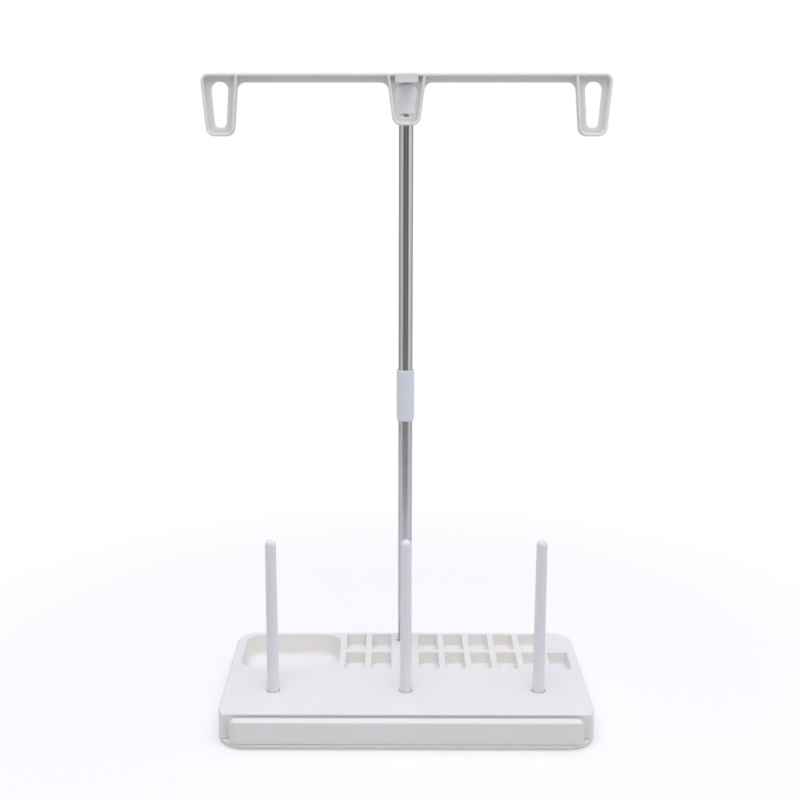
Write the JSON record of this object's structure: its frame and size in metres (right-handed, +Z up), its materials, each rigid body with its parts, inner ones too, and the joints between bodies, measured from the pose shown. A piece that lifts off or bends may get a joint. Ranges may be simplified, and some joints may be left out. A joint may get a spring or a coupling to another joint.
{
  "type": "thread spool stand",
  "caption": "Free-standing thread spool stand: shallow base with bobbin cells, pocket and drawer, spool pins, and a plug-together mast with a guide bar of thread loops.",
  "frame": {"origin": "on the table, under the middle of the base", "axes": "+Z up, the drawer and the spool pins face -Y, +X to the right as seen from the front"},
  "size_m": [0.2644, 0.13, 0.4181],
  "materials": {
    "white_plastic": "white moulded plastic with a soft gloss",
    "cream_plastic": "slightly warmer white moulded plastic with a soft gloss",
    "tube_steel": "drawn stainless tube with fine lengthwise marks",
    "zinc_steel": "zinc-plated screws",
    "foot_rubber": "matt grey rubber"
  },
  "bodies": {
    "stand_base": {"base_plate": "white_plastic", "base_cover": "white_plastic", "cover_screw_1": "zinc_steel", "cover_screw_2": "zinc_steel", "cover_screw_3": "zinc_steel", "cover_screw_4": "zinc_steel", "cover_screw_5": "zinc_steel", "cover_screw_6": "zinc_steel", "foot_front_left": "foot_rubber", "foot_front_right": "foot_rubber", "foot_back_left": "foot_rubber", "foot_back_right": "foot_rubber"},
    "drawer_body": {"drawer": "white_plastic"},
    "left_pin": {"spool_pin_left": "white_plastic"},
    "centre_pin": {"spool_pin_centre": "white_plastic"},
    "right_pin": {"spool_pin_right": "white_plastic"},
    "lower_mast": {"lower_tube": "tube_steel", "coupling_sleeve": "white_plastic"},
    "upper_mast": {"upper_tube": "tube_steel"},
    "swivel_head": {"mast_head": "white_plastic"},
    "bar": {"guide_bar": "cream_plastic"}
  },
  "joints": [
    {"name": "drawer_slide", "type": "slide", "parent": "stand_base", "child": "drawer_body", "axis": [0, -1, 0], "range_m": [0, 0.0464]},
    {"name": "left_pin_lift", "type": "slide", "parent": "stand_base", "child": "left_pin", "axis": [0, 0, 1], "range_m": [0, 0.012]},
    {"name": "centre_pin_lift", "type": "slide", "parent": "stand_base", "child": "centre_pin", "axis": [0, 0, 1], "range_m": [0, 0.012]},
    {"name": "right_pin_lift", "type": "slide", "parent": "stand_base", "child": "right_pin", "axis": [0, 0, 1], "range_m": [0, 0.012]},
    {"name": "mast_lift", "type": "slide", "parent": "stand_base", "child": "lower_mast", "axis": [0, 0, 1], "range_m": [0, 0.02]},
    {"name": "upper_tube_pull", "type": "slide", "parent": "lower_mast", "child": "upper_mast", "axis": [0, 0, 1], "range_m": [0, 0.022]},
    {"name": "head_swivel", "type": "hinge", "parent": "upper_mast", "child": "swivel_head", "pos_m": [0, 0.0517, 0.4], "axis": [0, 0, 1], "continuous": true},
    {"name": "bar_lift", "type": "slide", "parent": "swivel_head", "child": "bar", "axis": [0, 0, 1], "range_m": [0, 0.008]}
  ]
}
